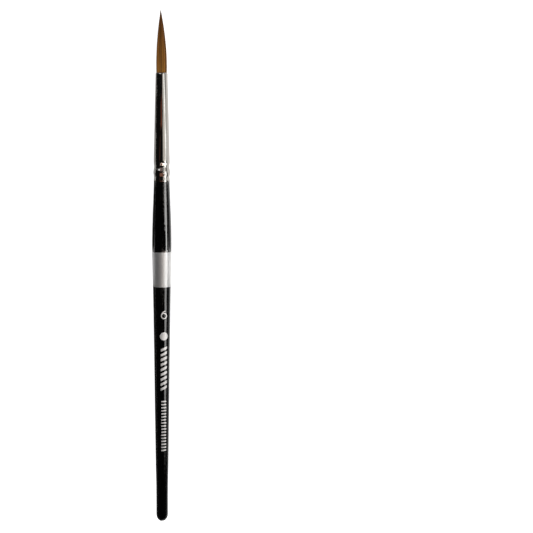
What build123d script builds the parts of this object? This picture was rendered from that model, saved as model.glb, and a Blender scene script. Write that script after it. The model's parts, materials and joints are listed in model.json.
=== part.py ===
from build123d import *
import os
from math import atan2, degrees, radians, tan

# Round fine detail brush with a short turned handle, lying on a table at rest.
# Every piece is modelled on the brush's own axis (+X from the butt end to the tip of the
# tuft) and then laid down on z = 0. Millimetres and degrees throughout.

# Lengths along the axis
HANDLE_LENGTH = 137.5
FERRULE_LENGTH = 42.3
TUFT_LENGTH = 24.3
MOUTH = HANDLE_LENGTH + FERRULE_LENGTH
TIP = MOUTH + TUFT_LENGTH

# Handle: a rounded butt, a short parallel land, then a long swelling outline. The lacquer is
# thicker over the butt, where the dipped handle drained
BUTT_ROUND = 3.0
BUTT_RADIUS = 2.35
LAND_END = 9.5
BELLY = (117.5, 3.77)
HANDLE_OUTLINE = [
    (22.5, 2.53),
    (36.5, 2.73),
    (53.0, 2.93),
    (67.5, 3.10),
    (80.0, 3.27),
    (93.0, 3.47),
    (101.5, 3.64),
    (109.5, 3.80),
    BELLY,
    (125.0, 3.55),
    (131.0, 3.31),
    (HANDLE_LENGTH, 3.08),
]
LACQUER = 0.10
BUTT_LACQUER = 0.20
GRIP_AT = 122.0
TENON_LENGTH = 17.0
TENON_CHAMFER = 0.5

# Silver band over the handle's widest part, and the printed marks behind it
BAND_REAR = 96.1
BAND_FRONT = 109.9
BAND_FILM = 0.05
PRINT_FILM = 0.03
PRINT_TURN = 20.5
NUMBER_AT = 85.1
NUMBER_HEIGHT = 3.3
NUMBER_STROKE = 0.38
DOT_AT = 76.5
DOT_RADIUS = 1.6
HATCH_AT = 71.4
HATCH_STROKES = 9
HATCH_PITCH = 1.98
HATCH_STROKE = (1.05, 2.5)
HATCH_SLANT = 24.0
TICKS_AT = 50.1
TICKS = 17
TICK_PITCH = 1.25
TICK_SIZE = (0.55, 2.0)

# Ferrule: a drawn taper with a rounded lip, two crimped grooves, a bulge between them and a
# flared collar, as distances behind the mouth and outside radii
WALL = 0.24
MOUTH_RADIUS = 2.34
LIP = 0.45
CONE_END = (34.2, 3.16)
CONE_SLOPE = (CONE_END[1] - MOUTH_RADIUS) / CONE_END[0]
BULGE = (38.6, 3.28)
CRIMPS = [(36.4, 2.98), BULGE, (40.3, 3.05), (41.5, 3.16), (FERRULE_LENGTH, 3.09)]
END_SLOPE = -0.25
GLUE = 0.06

# Tuft: the free hair turns about a point just outside the mouth
PIVOT_OUT = 0.8
TUFT_RADIUS = 1.99
TUFT_OUTLINE = [(6.0, 1.94), (10.5, 1.71), (15.1, 1.29), (19.7, 0.70)]
POINT_SLOPE = -0.15
SEAT_GAP = 0.10

# Hair roots, their binding thread and the setting cement, as depths behind the mouth
ROOT_RADIUS = 2.07
ROOT_FRONT = 0.5
ROOT_REAR = 9.5
WAIST_RADIUS = 1.84
WAIST_FRONT = 6.4
THREAD = 0.25
THREAD_TURNS = 6
CEMENT_FRONT = 2.0
CEMENT_REAR = 13.0
CEMENT_HOLLOW = 0.8


def lathe(edges):
    """A solid of revolution about X from the closed outline that the edges make."""
    face = make_face(edges)
    return revolve(face, axis=Axis.X)


def slab(rear, front):
    """A plain disc that covers everything on the axis from rear to front."""
    reach = 2 * BELLY[1]
    disc = Cylinder(reach, front - rear, rotation=(0, 90, 0))
    return Pos((rear + front) / 2, 0, 0) * disc


def handle_blank(grow, butt_grow):
    """The handle's outside, grown by that much and by its own amount over the butt."""
    side = BUTT_RADIUS + butt_grow
    length = BUTT_ROUND + butt_grow
    butt = EllipticalCenterArc((BUTT_ROUND, 0), length, side, start_angle=90, arc_size=90)
    land = Line((BUTT_ROUND, side), (LAND_END, side))
    points = [(LAND_END, side)] + [(x, r + grow) for x, r in HANDLE_OUTLINE]
    last_step = (points[-1][0] - points[-2][0], points[-1][1] - points[-2][1])
    swell = Spline(*points, tangents=[(1, 0), last_step])
    front = Line(points[-1], (HANDLE_LENGTH, 0))
    axis = Line((HANDLE_LENGTH, 0), (-butt_grow, 0))
    return lathe([butt, land, swell, front, axis])


def ferrule_side(inset, depth=0.0):
    """The ferrule's side, moved in by inset, from that depth behind the mouth to its rear end."""
    start = (MOUTH - depth, MOUTH_RADIUS + CONE_SLOPE * depth - inset)
    corner = (MOUTH - CONE_END[0], CONE_END[1] - inset)
    cone = Line(start, corner)
    rest = [(MOUTH - back, r - inset) for back, r in CRIMPS]
    crimped = Spline(corner, *rest, tangents=[(-1, CONE_SLOPE), (-1, END_SLOPE)])
    return start, [cone, crimped], rest[-1]


def wood_outside():
    return handle_blank(-LACQUER, -BUTT_LACQUER)


def film(thickness):
    """A film on the outside of the lacquer."""
    return handle_blank(thickness, thickness) - handle_blank(0, 0)


def handle_core():
    body = wood_outside()
    start, side, end = ferrule_side(WALL + GLUE, FERRULE_LENGTH - TENON_LENGTH)
    nose = (start[0], start[1] - TENON_CHAMFER)
    chamfered = (start[0] - TENON_CHAMFER, start[1])
    side[0] = Line(chamfered, (MOUTH - CONE_END[0], CONE_END[1] - WALL - GLUE))
    tenon = lathe(
        [
            Line((start[0], 0), nose),
            Line(nose, chamfered),
            *side,
            Line(end, (HANDLE_LENGTH, 0)),
            Line((HANDLE_LENGTH, 0), (start[0], 0)),
        ]
    )
    return body + tenon


def lacquer_coat():
    return handle_blank(0, 0) - wood_outside()


def silver_band():
    return film(BAND_FILM) & slab(BAND_REAR, BAND_FRONT)


def printed(face, at):
    """A film of ink on the handle: the face, drawn with its top towards the tip, pressed on."""
    plane = Plane(origin=(at, 0, 0), x_dir=(0, -1, 0), z_dir=(0, 0, 1))
    stamp = Rot(X=PRINT_TURN) * extrude(plane * face, amount=2 * BELLY[1])
    return film(PRINT_FILM) & stamp


def size_number():
    """A plain 6: a round bowl with a curved stem."""
    bowl_radius = 0.37 * NUMBER_HEIGHT
    bowl_at = bowl_radius - NUMBER_HEIGHT / 2
    half = NUMBER_STROKE / 2
    bowl = Circle(bowl_radius) - Circle(bowl_radius - NUMBER_STROKE)
    left = (half - bowl_radius, bowl_at)
    crown = (0.18 * NUMBER_HEIGHT, NUMBER_HEIGHT / 2 - half)
    shoulder = (0.62 * left[0], 0.26 * NUMBER_HEIGHT)
    stem = trace(ThreePointArc(left, shoulder, crown), line_width=NUMBER_STROKE)
    return printed(Pos(0, bowl_at) * bowl + stem, NUMBER_AT)


def printed_dot():
    return printed(Circle(DOT_RADIUS), DOT_AT)


def hatch_stroke():
    """One slanted stroke of the hatched rule."""
    width, height = HATCH_STROKE
    lean = height * tan(radians(HATCH_SLANT)) / 2
    corners = [
        (-height / 2, -width / 2 - lean),
        (height / 2, -width / 2 + lean),
        (height / 2, width / 2 + lean),
        (-height / 2, width / 2 - lean),
    ]
    return make_face(Polyline(*corners, close=True))


def printed_hatch():
    strokes = [Pos(0, -i * HATCH_PITCH) * hatch_stroke() for i in range(HATCH_STROKES)]
    return printed(Sketch(strokes), HATCH_AT)


def printed_ticks():
    along, across = TICK_SIZE
    ticks = [Pos(0, -i * TICK_PITCH) * Rectangle(across, along) for i in range(TICKS)]
    return printed(Sketch(ticks), TICKS_AT)


def ferrule():
    outer_start, outside, outer_end = ferrule_side(0, LIP)
    inner_start, inside, inner_end = ferrule_side(WALL)
    bore = inner_start[1]
    lip = EllipticalCenterArc((MOUTH - LIP, bore), LIP, outer_start[1] - bore, start_angle=0, arc_size=90)
    return lathe([*outside, *inside, Line(outer_end, inner_end), lip])


def handle_glue():
    """The film of glue that fills the fit between the tenon and the ferrule."""
    depth = FERRULE_LENGTH - TENON_LENGTH + TENON_CHAMFER
    outer_start, outside, outer_end = ferrule_side(WALL, depth)
    inner_start, inside, inner_end = ferrule_side(WALL + GLUE, depth)
    return lathe([*outside, *inside, Line(outer_start, inner_start), Line(outer_end, inner_end)])


def hair_roots():
    """The held part of the hair, pinched where it is tied, with a dished front for the free tuft."""
    waist_rear = WAIST_FRONT + THREAD_TURNS * THREAD
    taper = ROOT_RADIUS - WAIST_RADIUS
    depths = [
        (ROOT_FRONT, 0),
        (ROOT_FRONT, ROOT_RADIUS),
        (WAIST_FRONT - taper, ROOT_RADIUS),
        (WAIST_FRONT, WAIST_RADIUS),
        (waist_rear, WAIST_RADIUS),
        (waist_rear + taper, ROOT_RADIUS),
        (ROOT_REAR, ROOT_RADIUS),
        (ROOT_REAR, 0),
    ]
    bundle = lathe([Polyline(*[(MOUTH - depth, r) for depth, r in depths], close=True)])
    return bundle - Pos(MOUTH + PIVOT_OUT, 0, 0) * Sphere(TUFT_RADIUS + SEAT_GAP)


def thread_turns():
    """The tops of the thread's turns, side by side on the waist, from the front one back."""
    low = WAIST_RADIUS + THREAD / 2
    arcs = []
    for i in range(THREAD_TURNS):
        near = MOUTH - WAIST_FRONT - i * THREAD
        far = near - THREAD
        arcs.append(ThreePointArc((near, low), (near - THREAD / 2, WAIST_RADIUS + THREAD), (far, low)))
    return arcs


def binding_thread():
    """The whipping that ties the roots."""
    low = WAIST_RADIUS + THREAD / 2
    front = MOUTH - WAIST_FRONT
    rear = front - THREAD_TURNS * THREAD
    inside = Polyline((rear, low), (rear, WAIST_RADIUS), (front, WAIST_RADIUS), (front, low))
    return lathe([*thread_turns(), inside])


def setting_cement():
    """The cement round the roots and their thread, with a plug behind them, dished where it set."""
    bore = MOUTH_RADIUS - WALL
    rear_radius = bore + CONE_SLOPE * CEMENT_REAR
    low = WAIST_RADIUS + THREAD / 2
    taper = ROOT_RADIUS - WAIST_RADIUS
    front = MOUTH - CEMENT_FRONT
    rear = MOUTH - CEMENT_REAR
    waist_front = MOUTH - WAIST_FRONT
    waist_rear = waist_front - THREAD_TURNS * THREAD
    before_waist = Polyline(
        (rear, rear_radius),
        (front, bore + CONE_SLOPE * CEMENT_FRONT),
        (front, ROOT_RADIUS),
        (waist_front + taper, ROOT_RADIUS),
        (waist_front, WAIST_RADIUS),
        (waist_front, low),
    )
    behind_waist = Polyline(
        (waist_rear, low),
        (waist_rear, WAIST_RADIUS),
        (waist_rear - taper, ROOT_RADIUS),
        (MOUTH - ROOT_REAR, ROOT_RADIUS),
        (MOUTH - ROOT_REAR, 0),
        (rear + CEMENT_HOLLOW, 0),
    )
    dish = Spline((rear + CEMENT_HOLLOW, 0), (rear, rear_radius), tangents=[(0, 1), (-1, 1)])
    return lathe([before_waist, *thread_turns(), behind_waist, dish])


def tuft():
    """The free hair: a round root end about the pivot, full above the mouth, drawn to a point."""
    pivot = MOUTH + PIVOT_OUT
    root = ThreePointArc(
        (pivot - TUFT_RADIUS, 0),
        (pivot - TUFT_RADIUS * 2**-0.5, TUFT_RADIUS * 2**-0.5),
        (pivot, TUFT_RADIUS),
    )
    outline = [(MOUTH + x, r) for x, r in TUFT_OUTLINE]
    side = Spline((pivot, TUFT_RADIUS), *outline, (TIP, 0), tangents=[(1, 0), (1, POINT_SLOPE)])
    return lathe([root, side, Line((TIP, 0), (pivot - TUFT_RADIUS, 0))])


def laid_down(pieces):
    """Puts the pieces on the table: resting on the handle's belly and the ferrule's bulge."""
    reach = MOUTH - BULGE[0] - BELLY[0]
    tilt = degrees(atan2(BELLY[1] - BULGE[1], reach))
    lean = Rot(Y=tilt)
    box = Compound([lean * piece for piece in pieces.values()]).bounding_box()
    place = Pos(-(box.min.X + box.max.X) / 2, 0, -box.min.Z) * lean
    pivot = place * Pos(MOUTH + PIVOT_OUT, 0, 0)
    land = place * Pos((BUTT_ROUND + LAND_END) / 2, 0, 0)
    grip = place * Pos(GRIP_AT, 0, 0)
    print("tilt", round(tilt, 5), "pivot", pivot.position, "land", land.position, "grip", grip.position)
    return {name: place * piece for name, piece in pieces.items()}


def main():
    pieces = {
        "handle_core": handle_core(),
        "lacquer_coat": lacquer_coat(),
        "silver_band": silver_band(),
        "size_number": size_number(),
        "printed_dot": printed_dot(),
        "printed_hatch": printed_hatch(),
        "printed_ticks": printed_ticks(),
        "ferrule": ferrule(),
        "handle_glue": handle_glue(),
        "hair_roots": hair_roots(),
        "binding_thread": binding_thread(),
        "setting_cement": setting_cement(),
        "tuft": tuft(),
    }
    os.makedirs("parts", exist_ok=True)
    for name, piece in laid_down(pieces).items():
        export_step(piece, f"parts/{name}.step")


main()
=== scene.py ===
import json
import math
import bpy
import numpy as np
from mathutils import Matrix, Vector


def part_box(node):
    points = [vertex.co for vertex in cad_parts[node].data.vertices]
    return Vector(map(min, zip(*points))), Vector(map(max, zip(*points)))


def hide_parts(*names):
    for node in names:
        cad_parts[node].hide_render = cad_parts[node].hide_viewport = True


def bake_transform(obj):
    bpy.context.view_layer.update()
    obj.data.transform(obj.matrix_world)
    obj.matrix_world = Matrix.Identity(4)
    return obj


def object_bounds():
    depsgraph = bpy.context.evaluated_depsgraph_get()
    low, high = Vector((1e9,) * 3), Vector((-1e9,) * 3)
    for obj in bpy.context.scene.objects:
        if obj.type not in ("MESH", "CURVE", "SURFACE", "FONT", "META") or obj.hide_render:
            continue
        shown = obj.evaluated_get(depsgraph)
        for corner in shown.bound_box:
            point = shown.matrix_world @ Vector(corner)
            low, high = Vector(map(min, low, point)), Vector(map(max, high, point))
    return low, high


# Round fine detail brush: hair, materials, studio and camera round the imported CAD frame.
# Positions are in metres in the row frame. Stations, radii and textures are in millimetres
# along the brush's own axis, from the point where the tuft bends, towards the tip.

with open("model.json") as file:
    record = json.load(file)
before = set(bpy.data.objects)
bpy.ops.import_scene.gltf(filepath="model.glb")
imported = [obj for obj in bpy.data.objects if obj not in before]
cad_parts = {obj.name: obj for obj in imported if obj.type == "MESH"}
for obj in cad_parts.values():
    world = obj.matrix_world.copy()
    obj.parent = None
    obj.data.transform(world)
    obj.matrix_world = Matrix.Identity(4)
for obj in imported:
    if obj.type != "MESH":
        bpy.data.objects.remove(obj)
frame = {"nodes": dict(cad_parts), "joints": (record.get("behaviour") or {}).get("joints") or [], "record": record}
cad_low, cad_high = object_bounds()
nodes = frame["nodes"]
rng = np.random.default_rng(3)

MM = 0.001
bend = frame["joints"][0]
PIVOT = Vector(bend["pos_m"])
UP = Vector(bend["axis"]).normalized()
SIDE = Vector((0.0, 1.0, 0.0))
ALONG = SIDE.cross(UP)
TILT = math.atan2(-ALONG.z, ALONG.x)


def stations(node):
    """The stations and radii of a CAD node's vertices, in mm."""
    co = np.array([v.co for v in nodes[node].data.vertices]) - np.array(PIVOT)
    s = co @ np.array(ALONG)
    around = co - np.outer(s, np.array(ALONG))
    return s / MM, np.linalg.norm(around, axis=1) / MM


def place(s, r, a):
    """Row-frame points, in metres, at stations s, radii r and angles a from the top."""
    s, r, a = np.broadcast_arrays(s, r, a)
    local = np.stack([s, r * np.sin(a), r * np.cos(a)], axis=-1) * MM
    axes = np.array([ALONG, SIDE, UP])
    return local @ axes + np.array(PIVOT)


# ------------------------------------------------------------------ materials


class Look:
    """A procedural material. Its textures run on the brush's axis, in mm."""

    def __init__(self, name):
        self.material = bpy.data.materials.new(name)
        self.material.use_nodes = True
        self.tree = self.material.node_tree
        self.shader = self.tree.nodes["Principled BSDF"]

    def add(self, kind, **settings):
        node = self.tree.nodes.new("ShaderNode" + kind)
        for key, value in settings.items():
            setattr(node, key, value)
        return node

    def feed(self, socket, value):
        if isinstance(value, bpy.types.NodeSocket):
            self.tree.links.new(value, socket)
        else:
            socket.default_value = value

    def set(self, **values):
        for key, value in values.items():
            self.feed(self.shader.inputs[key.replace("_", " ")], value)

    def math(self, operation, a, b=0.0, c=0.0):
        node = self.add("Math", operation=operation)
        for socket, value in zip(node.inputs, (a, b, c)):
            self.feed(socket, value)
        return node.outputs[0]

    def local(self):
        """Position on the brush's axes, in mm, with x along it."""
        coords = self.add("TexCoord")
        turn = self.add("Mapping")
        turn.inputs["Rotation"].default_value = (0.0, -TILT, 0.0)
        turn.inputs["Scale"].default_value = (1 / MM,) * 3
        back = Matrix.Rotation(-TILT, 3, "Y") @ (PIVOT / MM)
        turn.inputs["Location"].default_value = -back
        self.feed(turn.inputs["Vector"], coords.outputs["Object"])
        return turn.outputs[0]

    def polar(self, along, around):
        """(station, angle) times those scales, as a texture's coordinates."""
        parts = self.add("SeparateXYZ")
        self.feed(parts.inputs[0], self.local())
        x, y, z = parts.outputs
        angle = self.math("ARCTAN2", y, z)
        joined = self.add("CombineXYZ")
        self.feed(joined.inputs[0], self.math("MULTIPLY", x, along))
        self.feed(joined.inputs[1], self.math("MULTIPLY", angle, around))
        return joined.outputs[0], x

    def noise(self, vector, scale, detail=2.0, roughness=0.5):
        node = self.add("TexNoise")
        self.feed(node.inputs["Vector"], vector)
        node.inputs["Scale"].default_value = scale
        node.inputs["Detail"].default_value = detail
        node.inputs["Roughness"].default_value = roughness
        return node.outputs["Fac"]

    def spread(self, value, low, high, to_low=0.0, to_high=1.0):
        """value mapped from low..high to to_low..to_high, and held there."""
        node = self.add("MapRange")
        for socket, v in zip(node.inputs, (value, low, high, to_low, to_high)):
            self.feed(socket, v)
        return node.outputs[0]

    def ramp(self, value, *stops):
        """A colour ramp: each stop is (place, (r, g, b))."""
        node = self.add("ValToRGB")
        points = node.color_ramp.elements
        while len(points) < len(stops):
            points.new(1.0)
        for point, (at, colour) in zip(points, stops):
            point.position = at
            point.color = (*colour, 1.0)
        self.feed(node.inputs[0], value)
        return node.outputs[0]

    def bump(self, height, distance, strength=1.0, under=None):
        """A bump of that height, in mm, on top of the bump under it."""
        node = self.add("Bump")
        node.inputs["Strength"].default_value = strength
        node.inputs["Distance"].default_value = distance * MM
        self.feed(node.inputs["Height"], height)
        if under is not None:
            self.feed(node.inputs["Normal"], under)
        return node.outputs[0]


def nickel_look():
    """Drawn, plated ferrule: mirror bright, with fine draw lines and soft waves."""
    look = Look("nickel_plate")
    lines, _ = look.polar(0.012, 14.0)
    draw = look.noise(lines, 1.0, detail=5.0, roughness=0.65)
    waves, _ = look.polar(0.05, 0.9)
    wave = look.noise(waves, 1.0, detail=1.0)
    facets, _ = look.polar(0.035, 4.2)
    facet = look.noise(facets, 1.0, detail=2.0)
    scuffs, _ = look.polar(1.6, 2.2)
    scuff = look.noise(scuffs, 1.0, detail=4.0, roughness=0.6)
    dull = look.spread(scuff, 0.45, 0.75, 0.05, 0.13)
    tint = look.ramp(scuff, (0.3, (0.62, 0.60, 0.57)), (0.7, (0.56, 0.54, 0.51)))
    soft = look.bump(facet, 0.045, under=look.bump(wave, 0.05))
    look.set(
        Base_Color=tint,
        Metallic=1.0,
        Roughness=dull,
        Normal=look.bump(draw, 0.0016, under=soft),
    )
    return look


# Stations between which the lacquer turns from nearly smooth, behind, to pebbled, in front
SMOOTH_BEHIND = -66.0
PEBBLED_BEYOND = -58.0


def lacquer_look():
    """Dipped black lacquer: deep gloss, slightly uneven, smoother towards the butt, with specks."""
    look = Look("black_lacquer")
    flow, _ = look.polar(0.16, 0.55)
    uneven = look.noise(flow, 1.0, detail=2.0)
    ripple, x = look.polar(0.9, 1.3)
    fine = look.noise(ripple, 1.0, detail=3.0)
    share = look.spread(x, SMOOTH_BEHIND, PEBBLED_BEYOND, 0.3, 1.0)
    pebbles = look.math("MULTIPLY", fine, share)
    specks = look.noise(look.local(), 2.6, detail=1.0)
    dust = look.spread(specks, 0.70, 0.76)
    black, speck = (0.0005, 0.0005, 0.0006), (0.006, 0.0055, 0.005)
    shade = look.ramp(dust, (0.0, black), (1.0, speck))
    base = look.bump(uneven, 0.05)
    top = look.bump(pebbles, 0.045, under=base)
    look.set(
        Base_Color=shade,
        Roughness=look.spread(fine, 0.35, 0.7, 0.05, 0.10),
        Normal=top,
        Coat_Normal=top,
    )
    look.set(IOR=1.6, Coat_Weight=1.0, Coat_Roughness=0.05, Coat_IOR=1.85)
    return look


def film_look():
    """Silver foil band: satin, with faint lines round it."""
    look = Look("silver_film")
    rings, _ = look.polar(2.6, 0.35)
    ring = look.noise(rings, 1.0, detail=5.0, roughness=0.7)
    cloud = look.noise(look.local(), 0.7, detail=3.0)
    ring_share = look.math("MULTIPLY", ring, 0.65)
    cloud_share = look.math("MULTIPLY", cloud, 0.35)
    tone = look.math("ADD", ring_share, cloud_share)
    look.set(
        Base_Color=look.ramp(tone, (0.3, (0.88, 0.88, 0.88)), (0.7, (0.97, 0.97, 0.97))),
        Metallic=0.9,
        Roughness=look.spread(tone, 0.3, 0.7, 0.40, 0.50),
        Normal=look.bump(ring, 0.006),
    )
    return look


def ink_look():
    """Stamped silver foil marks, slightly worn and grainy."""
    look = Look("print_ink")
    grain = look.noise(look.local(), 7.0, detail=4.0, roughness=0.6)
    look.set(
        Base_Color=look.ramp(grain, (0.3, (0.80, 0.78, 0.77)), (0.7, (0.96, 0.95, 0.94))),
        Metallic=0.6,
        Roughness=look.spread(grain, 0.3, 0.7, 0.36, 0.5),
        Normal=look.bump(grain, 0.004),
    )
    return look


def wood_look():
    """Turned hardwood under the lacquer, with its grain along the handle."""
    look = Look("handle_wood")
    long_grain, _ = look.polar(0.06, 3.0)
    grain = look.noise(long_grain, 1.0, detail=6.0, roughness=0.65)
    look.set(
        Base_Color=look.ramp(grain, (0.3, (0.55, 0.37, 0.20)), (0.7, (0.76, 0.58, 0.38))),
        Roughness=look.spread(grain, 0.3, 0.7, 0.5, 0.68),
        Normal=look.bump(grain, 0.02),
    )
    return look


def adhesive_look():
    """Set resin: amber, glossy, slightly cloudy."""
    look = Look("adhesive")
    cloud = look.noise(look.local(), 1.4, detail=4.0)
    look.set(
        Base_Color=look.ramp(cloud, (0.3, (0.50, 0.31, 0.10)), (0.7, (0.66, 0.47, 0.20))),
        Roughness=look.spread(cloud, 0.3, 0.7, 0.16, 0.34),
        Normal=look.bump(cloud, 0.03),
    )
    look.set(Subsurface_Weight=0.15, Subsurface_Scale=0.5 * MM)
    return look


def thread_look():
    """Waxed binding thread, with its twist."""
    look = Look("thread")
    twist, _ = look.polar(3.0, 24.0)
    strand = look.noise(twist, 1.0, detail=3.0)
    look.set(
        Base_Color=look.ramp(strand, (0.3, (0.58, 0.52, 0.41)), (0.7, (0.80, 0.75, 0.63))),
        Roughness=look.spread(strand, 0.3, 0.7, 0.6, 0.8),
        Normal=look.bump(strand, 0.02),
    )
    look.set(Sheen_Weight=0.3)
    return look


def root_look():
    """The glued root ends of the hair."""
    look = Look("hair_roots")
    strands = look.add("Mapping")
    look.feed(strands.inputs["Vector"], look.local())
    strands.inputs["Scale"].default_value = (0.08, 5.0, 5.0)
    fine = look.noise(strands.outputs[0], 1.0, detail=4.0, roughness=0.6)
    look.set(
        Base_Color=look.ramp(fine, (0.3, (0.13, 0.055, 0.015)), (0.7, (0.30, 0.15, 0.05))),
        Roughness=look.spread(fine, 0.3, 0.7, 0.4, 0.55),
        Normal=look.bump(fine, 0.03),
    )
    return look


def hair_look():
    """Brown synthetic filament: paler towards the mouth, each clump and filament its own random tone, with painted
    shade between the clumps and on the core.
    """
    look = Look("brown_hair")
    along = look.add("Attribute", attribute_name="along").outputs["Fac"]
    shade = look.add("Attribute", attribute_name="shade").outputs["Fac"]
    warmth = look.add("Attribute", attribute_name="warmth").outputs["Fac"]
    brown = look.ramp(
        along,
        (0.0, (0.300, 0.132, 0.022)),
        (0.35, (0.245, 0.102, 0.015)),
        (0.7, (0.165, 0.062, 0.008)),
        (1.0, (0.120, 0.048, 0.022)),
    )
    warm = look.add("Mix", data_type="RGBA", blend_type="MULTIPLY")
    warm.inputs[0].default_value = 1.0
    look.feed(warm.inputs[6], brown)
    tints = look.ramp(warmth, (0.0, (0.93, 1.04, 1.10)), (1.0, (1.08, 0.96, 0.82)))
    look.feed(warm.inputs[7], tints)
    lit = look.add("VectorMath", operation="SCALE")
    look.feed(lit.inputs[0], warm.outputs[2])
    look.feed(lit.inputs["Scale"], shade)
    look.set(
        Base_Color=lit.outputs[0],
        Roughness=look.spread(along, 0.0, 1.0, 0.42, 0.5),
    )
    look.set(Specular_IOR_Level=0.15)
    return look


LOOKS = {
    "handle_wood": wood_look(),
    "black_lacquer": lacquer_look(),
    "silver_film": film_look(),
    "print_ink": ink_look(),
    "nickel_plate": nickel_look(),
    "adhesive": adhesive_look(),
    "brown_hair": root_look(),
    "thread": thread_look(),
}
for part in frame["record"]["subparts"]:
    cad = nodes[part["node"]]
    cad.data.materials.clear()
    cad.data.materials.append(LOOKS[part["material_slot"]].material)


# ----------------------------------------------------------------------- hair

FILAMENTS = 1500
FILAMENT_RADIUS = 0.055
FILAMENT_END = 0.028
RINGS = 14
SIDES = 4
CORE_RINGS = 48
CORE_SIDES = 40
CLUMPS = 31
CLUMP_DRAW = 0.34
CLUMP_GROOVE = 0.03
CLUMP_DEPTH = 0.03
SHADE_SPREAD = 0.2
WARMTH_SPREAD = 0.2
END_SPREAD = 0.25
SWAY = 0.035
OUTER_LAYER = 0.66
ROOT_IN_MOUTH = 0.42
HAIR_IN_MOUTH = 0.05
HAIR_OVER_CAD = 0.10
HAIR_AT_TIP = 0.09
TIP_LEAN = 0.32
THINNING = 1.25
CORE_SHARE = 0.89
CORE_TIP_SHARE = 0.7
# The core shell's brightness, half that of the filaments: painted shade inside the tuft.
CORE_PAINTED_SHADE = 0.5
CORE_WARMTH = 0.5
LIP_DEPTH = 0.13

# The mouth is the front end of the ferrule's bore, and the tuft's outline starts at the pivot
ferrule_s, ferrule_r = stations("ferrule")
lip = ferrule_s > ferrule_s.max() - LIP_DEPTH
bore = ferrule_r < ferrule_r[lip].min() + 0.003
MOUTH = ferrule_s[bore].max()
tuft_s, tuft_r = stations("tuft")
TIP = tuft_s.max()
free = tuft_s >= 0.0
order = np.argsort(tuft_s[free])
outline_s, outline_r = tuft_s[free][order], tuft_r[free][order]


def hair_radius(s):
    """The tuft's outside radius, in mm: the CAD outline with the filaments laid on it."""
    at = [MOUTH + 0.3, MOUTH + 2.0, 0.8 * TIP, TIP]
    over = [HAIR_IN_MOUTH, HAIR_OVER_CAD, HAIR_OVER_CAD, HAIR_AT_TIP]
    return np.interp(s, outline_s, outline_r) + np.interp(s, at, over)


ROOT = MOUTH - ROOT_IN_MOUTH
BODY_RADIUS = hair_radius(0.0)


def hair_end(share):
    """The station where that share of the filaments still goes on."""
    grid = np.linspace(0.0, TIP, 400)
    going_on = (hair_radius(grid) / BODY_RADIUS) ** THINNING
    return np.interp(share, going_on[::-1], grid[::-1])


def tube(path, radii, sides):
    """Vertices and quads of a closed tube round each of many paths of points (n, rings, 3)."""
    count, rings, _ = path.shape
    forward = np.gradient(path, axis=1)
    forward /= np.linalg.norm(forward, axis=2, keepdims=True)
    one = np.cross(forward, np.array(UP))
    one /= np.linalg.norm(one, axis=2, keepdims=True)
    two = np.cross(forward, one)
    turn = np.linspace(0.0, 2 * math.pi, sides, endpoint=False)
    ring = one[:, :, None] * np.cos(turn)[:, None] + two[:, :, None] * np.sin(turn)[:, None]
    co = path[:, :, None] + ring * radii[:, :, None, None]
    index = np.arange(count * rings * sides).reshape(count, rings, sides)
    low, high = index[:, :-1], index[:, 1:]
    quads = np.stack([low, np.roll(low, -1, 2), np.roll(high, -1, 2), high], axis=-1)
    caps = np.concatenate([index[:, 0, ::-1], index[:, -1]])
    return co.reshape(-1, 3), quads.reshape(-1, 4), caps


def filaments():
    """Station, radius, angle and thickness along every filament, with its brightness (random tone and painted
    shade between clumps) and warmth.
    """
    t = np.linspace(0.0, 1.0, RINGS)
    clump_at = np.sort(rng.uniform(0, 2 * math.pi, CLUMPS))
    clump_shade = rng.normal(1.0, SHADE_SPREAD, CLUMPS)
    clump_warmth = rng.uniform(0.0, 1.0, CLUMPS)
    clump_depth = rng.uniform(0.0, 1.0, CLUMPS)
    angle = rng.uniform(0, 2 * math.pi, FILAMENTS)
    away = (angle[:, None] - clump_at + math.pi) % (2 * math.pi) - math.pi
    clump = np.abs(away).argmin(axis=1)
    away = away[np.arange(FILAMENTS), clump]
    share = rng.uniform(0.0, 1.0, FILAMENTS)
    end = np.minimum(hair_end(share) + rng.normal(0.0, END_SPREAD, FILAMENTS), TIP - 0.02)
    layer = np.sqrt(rng.uniform(OUTER_LAYER, 1.0, FILAMENTS))
    s = ROOT + (end - ROOT)[:, None] * t
    drawn = np.interp(s, [MOUTH + 1.0, 0.75 * TIP], [0.0, 1.0])
    sway = rng.normal(0.0, 1.0, (FILAMENTS, 3))
    wave = np.sin(t[None] * math.pi * 1.5 + sway[:, :1] * 3.0) * (SWAY * sway[:, 1:2])
    loose = np.interp(s, [MOUTH, 4.0], [0.0, 1.0])
    a = angle[:, None] - away[:, None] * CLUMP_DRAW * drawn + wave * loose
    edge = np.cos(away / (math.pi / CLUMPS) * 1.2)
    groove = CLUMP_GROOVE * (1.0 - edge)[:, None] * drawn
    sunk = CLUMP_DEPTH * clump_depth[clump][:, None] * drawn
    r = layer[:, None] * hair_radius(s) * (1.0 - groove - sunk)
    r = np.maximum(r - FILAMENT_RADIUS, 0.0)
    thick = FILAMENT_RADIUS + (FILAMENT_END - FILAMENT_RADIUS) * t[None] ** 3
    thick = np.repeat(thick, FILAMENTS, axis=0) * rng.uniform(0.8, 1.15, (FILAMENTS, 1))
    # Filaments near the clumps' edges are darker: painted shade between the clumps, over each clump's and
    # filament's own random tone.
    shade = clump_shade[clump] * rng.normal(1.0, SHADE_SPREAD, FILAMENTS) * (0.78 + 0.3 * edge)
    warmth = clump_warmth[clump] + rng.normal(0.0, WARMTH_SPREAD, FILAMENTS)
    return s, r, a, thick, np.clip(shade, 0.4, 1.8), np.clip(warmth, 0.0, 1.0)


def core():
    """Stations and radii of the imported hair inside, which closes the gaps."""
    s = np.linspace(ROOT + 0.02, TIP - 0.15, CORE_RINGS)
    return s, hair_radius(s) * np.interp(s, [0.7 * TIP, TIP], [CORE_SHARE, CORE_TIP_SHARE])


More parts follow.
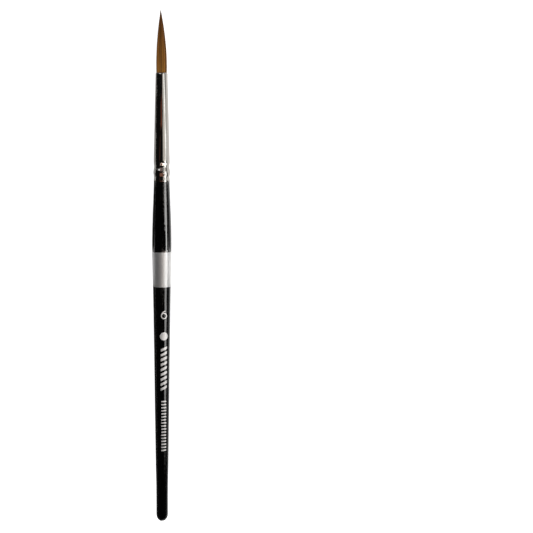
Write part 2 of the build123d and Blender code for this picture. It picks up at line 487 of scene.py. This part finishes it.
def leaned(points):
    """The points, moved by the tuft's slight set to one side."""
    s = (points - np.array(PIVOT)) @ np.array(ALONG) / MM
    share = np.clip(s / TIP, 0.0, 1.0) ** 2
    return points + np.outer(share * TIP_LEAN * MM, np.array(SIDE))


def share_of_length(s):
    """How far those stations are from the mouth to the tip, from 0 to 1."""
    return np.clip((s - MOUTH) / (TIP - MOUTH), 0.0, 1.0)


def build_hair():
    """One mesh: every filament as a closed tube, and the core as a closed shell inside them."""
    s, r, a, thick, shade, warmth = filaments()
    co, quads, caps = tube(place(s, r, a), thick * MM, SIDES)
    per = RINGS * SIDES
    along = np.repeat(share_of_length(s).reshape(-1), SIDES)
    shades, warmths = np.repeat(shade, per), np.repeat(warmth, per)
    core_s, core_r = core()
    turn = np.linspace(0.0, 2 * math.pi, CORE_SIDES, endpoint=False)
    shell = place(core_s[:, None], core_r[:, None], turn[None]).reshape(-1, 3)
    index = np.arange(len(shell)).reshape(CORE_RINGS, CORE_SIDES) + len(co)
    low, high = index[:-1], index[1:]
    wall = np.stack([low, high, np.roll(high, -1, 1), np.roll(low, -1, 1)], axis=-1)
    faces = quads.tolist() + caps.tolist() + wall.reshape(-1, 4).tolist()
    faces += [index[0].tolist(), index[-1, ::-1].tolist()]
    co = leaned(np.concatenate([co, shell]))
    mesh = bpy.data.meshes.new("hair")
    mesh.from_pydata(co.tolist(), [], faces)
    core_along = np.repeat(share_of_length(core_s), CORE_SIDES)
    values = {
        "along": np.concatenate([along, core_along]),
        # The core shell is darker: painted shade inside the tuft.
        "shade": np.concatenate([shades, np.full(len(shell), CORE_PAINTED_SHADE)]),
        "warmth": np.concatenate([warmths, np.full(len(shell), CORE_WARMTH)]),
    }
    for name, value in values.items():
        mesh.attributes.new(name, "FLOAT", "POINT").data.foreach_set("value", value)
    mesh.polygons.foreach_set("use_smooth", np.ones(len(mesh.polygons), bool))
    mesh.materials.append(hair_look().material)
    hair = bpy.data.objects.new("hair", mesh)
    bpy.context.scene.collection.objects.link(hair)
    return hair


hair = build_hair()
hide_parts("tuft")
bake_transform(hair)


# --------------------------------------------------------------------- studio

FLOOR_GLOW = 0.80
FLOOR_HALF_WIDTH = 3.0
FLOOR_BELOW = 0.00002
CARDS_BELOW = FLOOR_BELOW / 2
CARD_DEPTH = 0.6
CARD_END = 0.4
FACE_OVER_CARDS = FLOOR_BELOW / 4
PANEL_REACH = 0.42
STRIP_REACH = 0.40
BRUSH_HEIGHT = 0.003
WHITE = (1.0, 0.99, 0.97)


def emitter(name, colour, strength):
    """A glowing material, with its node tree and its emission node."""
    look = bpy.data.materials.new(name)
    look.use_nodes = True
    tree = look.node_tree
    tree.nodes.remove(tree.nodes["Principled BSDF"])
    glow = tree.nodes.new("ShaderNodeEmission")
    glow.inputs["Color"].default_value = (*colour, 1.0)
    glow.inputs["Strength"].default_value = strength
    tree.links.new(glow.outputs[0], tree.nodes["Material Output"].inputs["Surface"])
    return look, tree, glow


def card(name, centre, width, height, facing, material):
    """A flat rectangle, its width along X, that faces a point."""
    mesh = bpy.data.meshes.new(name)
    w, h = width / 2, height / 2
    mesh.from_pydata([(-w, -h, 0), (w, -h, 0), (w, h, 0), (-w, h, 0)], [], [(0, 1, 2, 3)])
    mesh.materials.append(material)
    obj = bpy.data.objects.new(name, mesh)
    z = (Vector(facing) - Vector(centre)).normalized()
    x = Vector((1.0, 0.0, 0.0))
    y = z.cross(x).normalized()
    x = y.cross(z)
    turn = Matrix((x, y, z)).transposed().to_4x4()
    obj.matrix_world = Matrix.Translation(centre) @ turn
    bpy.context.scene.collection.objects.link(obj)
    return obj


def graded(name, strength, output, stops, tint=(1.0, 1.0, 1.0)):
    """A glowing material whose level changes across a card (output 0: along X, 1: up it)."""
    look, tree, glow = emitter(name, tint, strength)
    coords = tree.nodes.new("ShaderNodeTexCoord")
    parts = tree.nodes.new("ShaderNodeSeparateXYZ")
    ramp = tree.nodes.new("ShaderNodeValToRGB")
    tree.links.new(coords.outputs["Generated"], parts.inputs[0])
    tree.links.new(parts.outputs[output], ramp.inputs[0])
    tree.links.new(ramp.outputs[0], glow.inputs["Color"])
    while len(ramp.color_ramp.elements) < len(stops):
        ramp.color_ramp.elements.new(1.0)
    for point, (at, level) in zip(ramp.color_ramp.elements, stops):
        point.position = at
        point.color = (*(level * c for c in tint), 1.0)
    return look


def only_reflected(obj):
    """Hides the object from all but reflections."""
    obj.visible_camera = False
    obj.visible_diffuse = False
    obj.visible_shadow = False


def reflected(name, centre, width, height, facing, material):
    """A card that only reflections see."""
    only_reflected(card(name, centre, width, height, facing, material))


def face(name, corners, material):
    """One flat face, given by its corners, as part of the studio."""
    mesh = bpy.data.meshes.new(name)
    mesh.from_pydata(corners, [], [tuple(range(len(corners)))])
    mesh.materials.append(material)
    obj = bpy.data.objects.new(name, mesh)
    bpy.context.scene.collection.objects.link(obj)
    return obj


def reflected_face(name, corners, material):
    """One flat face, given by its corners, that only reflections see."""
    only_reflected(face(name, corners, material))


def off_side(lean, reach, x):
    """A point at that lean from overhead, to the brush's right."""
    lean = math.radians(lean)
    return (x, -reach * math.sin(lean), reach * math.cos(lean))


def panel(name, x_range, lean_range, material):
    """A panel that glows at the brush, between those places along X and leans from overhead."""
    lean, half = sum(lean_range) / 2, (lean_range[1] - lean_range[0]) / 2
    x = sum(x_range) / 2
    centre = off_side(lean, PANEL_REACH, x)
    width = x_range[1] - x_range[0]
    height = 2 * PANEL_REACH * math.tan(math.radians(half))
    reflected(name, centre, width, height, (x, 0, BRUSH_HEIGHT), material)


def handle_panels():
    """The soft boxes that the lacquer and the band mirror, and the band's bright lower edge."""
    soft = [(0.0, 0.3), (0.2, 0.8), (0.5, 1.0), (0.8, 0.9), (1.0, 0.4)]
    panel("front_panel", (0.018, 0.066), (38, 74), graded("front_panel", 2.8, 1, soft, WHITE))
    glow, _, _ = emitter("middle_panel", WHITE, 3.4)
    panel("middle_panel", (-0.045, 0.018), (54, 69), glow)
    fading = [(0.0, 0.0), (0.15, 0.15), (0.35, 0.75), (0.5, 1.0), (1.0, 0.9)]
    panel("rear_panel", (-0.220, -0.045), (43, 69), graded("rear_panel", 1.7, 0, fading, WHITE))
    panel("band_edge", (-0.055, -0.026), (69, 80), glow)


def band_panels():
    """Warm panels over the band, in a stretch along X that only its satin film mirrors."""
    x_range = (-0.052, -0.033)
    beside, _, _ = emitter("band_panel", (0.66, 0.58, 0.53), 7.0)
    panel("band_panel", x_range, (6, 54), beside)
    overhead, _, _ = emitter("band_top", (0.62, 0.52, 0.46), 1.7)
    panel("band_top", x_range, (-18, 6), overhead)


def ferrule_panels():
    """The beige panels and the bright strip that the ferrule mirrors, and the dim walls below."""
    soft = [(0.0, 0.5), (0.12, 0.9), (0.6, 1.0), (0.9, 0.9), (1.0, 0.6)]
    beige = graded("ferrule_panel", 0.78, 1, soft, (1.0, 0.95, 0.88))
    panel("ferrule_panel", (0.066, 0.118), (23, 77), beige)
    panel("mouth_panel", (0.118, 0.170), (22, 65), beige)
    bright, _, _ = emitter("ferrule_strip", (0.98, 1.0, 1.0), 1.8)
    ends = [(36, 0.152), (49, 0.152), (77, 0.070), (62, 0.070)]
    corners = [off_side(lean, STRIP_REACH, x) for lean, x in ends]
    reflected_face("ferrule_strip", corners, bright)
    dim = [(0.0, 0.15), (0.45, 0.15), (0.5, 1.0), (0.9, 1.0), (0.95, 0.15), (1.0, 0.15)]
    panel("far_panel", (0.170, 0.40), (20, 65), graded("far_panel", 1.2, 1, dim, WHITE))
    wall, _, _ = emitter("ferrule_wall", (0.97, 0.96, 0.94), 0.6)
    panel("ferrule_wall", (0.066, 0.118), (77, 90), wall)
    shade, _, _ = emitter("mouth_wall", (0.97, 0.90, 0.85), 0.22)
    panel("mouth_wall", (0.118, 0.40), (65, 90), shade)


def key_lamp():
    """The lamp that lights what isn't a mirror."""
    key, _, _ = emitter("key", (1.0, 0.985, 0.95), 2.6)
    lamp = card("key", off_side(48, PANEL_REACH, 0.0), 0.42, 0.24, (0, 0, BRUSH_HEIGHT), key)
    lamp.visible_camera = False
    lamp.visible_shadow = False
    lamp.visible_glossy = False


def small_reflections():
    """The window beyond the tip, and the brown things that the ferrule's crimps and cone mirror."""
    crimps = Vector((0.04, 0.0, BRUSH_HEIGHT))
    panes = [(0.0, 0.04), (0.33, 0.08), (0.38, 0.9), (0.62, 1.0), (0.7, 0.2), (1.0, 0.2)]
    window = graded("tip_window", 1.6, 1, panes)
    centre = crimps + 0.4 * Vector((0.45, 0.42, 0.79)).normalized()
    reflected("tip_window", centre, 0.11, 0.68, crimps, window)
    brown, _, _ = emitter("brown_wall", (0.22, 0.10, 0.07), 1.0)
    black, _, _ = emitter("brown_wall_back", (0.0, 0.0, 0.0), 0.0)
    outline = [
        (-0.010, 0.0285),
        (0.003, 0.0285),
        (0.013, 0.037),
        (0.012, 0.055),
        (-0.006, 0.072),
        (-0.020, 0.045),
    ]
    for name, x, side in (("brown_wall", 0.030, brown), ("brown_wall_back", 0.0299, black)):
        reflected_face(name, [(x, y, z) for y, z in outline], side)
    front, _, _ = emitter("brown_strip", (0.20, 0.07, 0.045), 1.0)
    strip = [(0.067, 0.010), (0.067, -0.013), (0.082, -0.012), (0.082, 0.002)]
    reflected_face("brown_strip", [(x, y, 0.1) for x, y in strip], front)
    rear, _, _ = emitter("faint_strip", (0.07, 0.032, 0.024), 1.0)
    strip = [(0.048, 0.060), (0.048, 0.040), (0.063, 0.018), (0.063, 0.034)]
    reflected_face("faint_strip", [(x, y, 0.1) for x, y in strip], rear)
    ceiling, _, _ = emitter("far_ceiling", (0.11, 0.105, 0.10), 1.0)
    patch = [(0.24, 0.36), (0.24, -0.13), (0.34, -0.13), (0.34, 0.36)]
    reflected_face("far_ceiling", [(x, y, 0.9) for x, y in patch], ceiling)


def fading_away(name, strength, steps, tint=(1.0, 1.0, 1.0)):
    """A floor card's glow, from (distance from the brush, level) steps."""
    stops = [(1 - away / CARD_DEPTH, level) for away, level in steps]
    return graded(name, strength, 1, stops, tint)


def floor_cards():
    """What reflections see of the floor: pale beside the metal, and fading away from the brush."""
    z = cad_low.z - CARDS_BELOW
    near, depth, end = 0.002, CARD_DEPTH, CARD_END
    band_low, band_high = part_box("silver_band")
    ferrule_low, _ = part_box("ferrule")
    black, _, _ = emitter("handle_left", (0.03, 0.03, 0.03), 1.0)
    grey, _, _ = emitter("band_left", (0.45, 0.45, 0.45), 1.0)
    steps = [(depth, 0.0), (0.024, 0.0), (0.014, 0.16), (0.007, 0.55), (0.0, 0.6)]
    dark = fading_away("handle_floor", 1.0, steps)
    steps = [(depth, 0.6), (0.045, 0.6), (0.020, 1.0), (0.0, 1.0)]
    pale = fading_away("metal_floor", 0.9, steps, (0.98, 0.97, 0.95))
    stretches = [
        (-end, band_low.x, black, dark),
        (band_low.x, band_high.x, grey, pale),
        (band_high.x, ferrule_low.x, black, dark),
        (ferrule_low.x, end, black, pale),
    ]
    for low, high, left, right in stretches:
        for side, look in ((1, left), (-1, right)):
            centre = ((low + high) / 2, side * (near + depth / 2), z)
            reflected("floor_card", centre, high - low, depth, (centre[0], centre[1], 1.0), look)
    inner = [(end, near), (ferrule_low.x, near)]
    outer = [(ferrule_low.x, 0.09), (0.050, 0.050), (0.057, 0.019), (0.066, 0.012), (end, 0.009)]
    corners = [(x, y, z + FACE_OVER_CARDS) for x, y in inner + outer]
    reflected_face("ferrule_left", corners, grey)


def floor():
    """Plain pale paper, evenly bright."""
    look = bpy.data.materials.new("floor")
    look.use_nodes = True
    tree = look.node_tree
    paper = tree.nodes["Principled BSDF"]
    paper.inputs["Base Color"].default_value = (0.80, 0.80, 0.80, 1.0)
    paper.inputs["Roughness"].default_value = 0.9
    paper.inputs["Specular IOR Level"].default_value = 0.0
    paper.inputs["Emission Color"].default_value = (1.0, 1.0, 1.0, 1.0)
    paper.inputs["Emission Strength"].default_value = FLOOR_GLOW
    w = FLOOR_HALF_WIDTH
    z = cad_low.z - FLOOR_BELOW
    face("floor", [(-w, -w, z), (w, -w, z), (w, w, z), (-w, w, z)], look)


def room():
    """White to the camera, dim in reflections, and a soft even fill."""
    world = bpy.data.worlds.new("room")
    bpy.context.scene.world = world
    world.use_nodes = True
    tree = world.node_tree
    path = tree.nodes.new("ShaderNodeLightPath")
    fill, seen = tree.nodes["Background"], tree.nodes.new("ShaderNodeBackground")
    dark = tree.nodes.new("ShaderNodeBackground")
    fill.inputs["Strength"].default_value = 0.55
    seen.inputs["Strength"].default_value = 1.0
    for node in (fill, seen):
        node.inputs["Color"].default_value = (1.0, 1.0, 1.0, 1.0)
    dark.inputs["Color"].default_value = (0.006, 0.0055, 0.005, 1.0)
    glossy, camera = tree.nodes.new("ShaderNodeMixShader"), tree.nodes.new("ShaderNodeMixShader")
    links = tree.links
    links.new(path.outputs["Is Glossy Ray"], glossy.inputs[0])
    links.new(fill.outputs[0], glossy.inputs[1])
    links.new(dark.outputs[0], glossy.inputs[2])
    links.new(path.outputs["Is Camera Ray"], camera.inputs[0])
    links.new(glossy.outputs[0], camera.inputs[1])
    links.new(seen.outputs[0], camera.inputs[2])
    links.new(camera.outputs[0], tree.nodes["World Output"].inputs["Surface"])
    world.cycles.sampling_method = "NONE"


def camera():
    """Above the tuft's end of the brush, which runs up the left of the frame."""
    seat = Vector((0.050, -0.0418, 0.400))
    aim = Vector((0.0023784, -0.041526, 0.0040))
    roll = math.radians(0.5093)
    forward = (aim - seat).normalized()
    right = forward.cross(Vector((1.0, 0.0, 0.0))).normalized()
    up = right.cross(forward)
    r = right * math.cos(roll) + up * math.sin(roll)
    u = up * math.cos(roll) - right * math.sin(roll)
    data = bpy.data.cameras.new("camera")
    data.lens = 67.87
    data.sensor_width = 36.0
    data.clip_start = 0.01
    data.clip_end = 20.0
    obj = bpy.data.objects.new("camera", data)
    obj.matrix_world = Matrix.Translation(seat) @ Matrix((r, u, -forward)).transposed().to_4x4()
    bpy.context.scene.collection.objects.link(obj)
    bpy.context.scene.camera = obj


floor()
handle_panels()
band_panels()
ferrule_panels()
key_lamp()
small_reflections()
floor_cards()
room()
camera()
bpy.context.scene.view_settings.view_transform = "Standard"
bpy.context.scene.view_settings.look = "None"
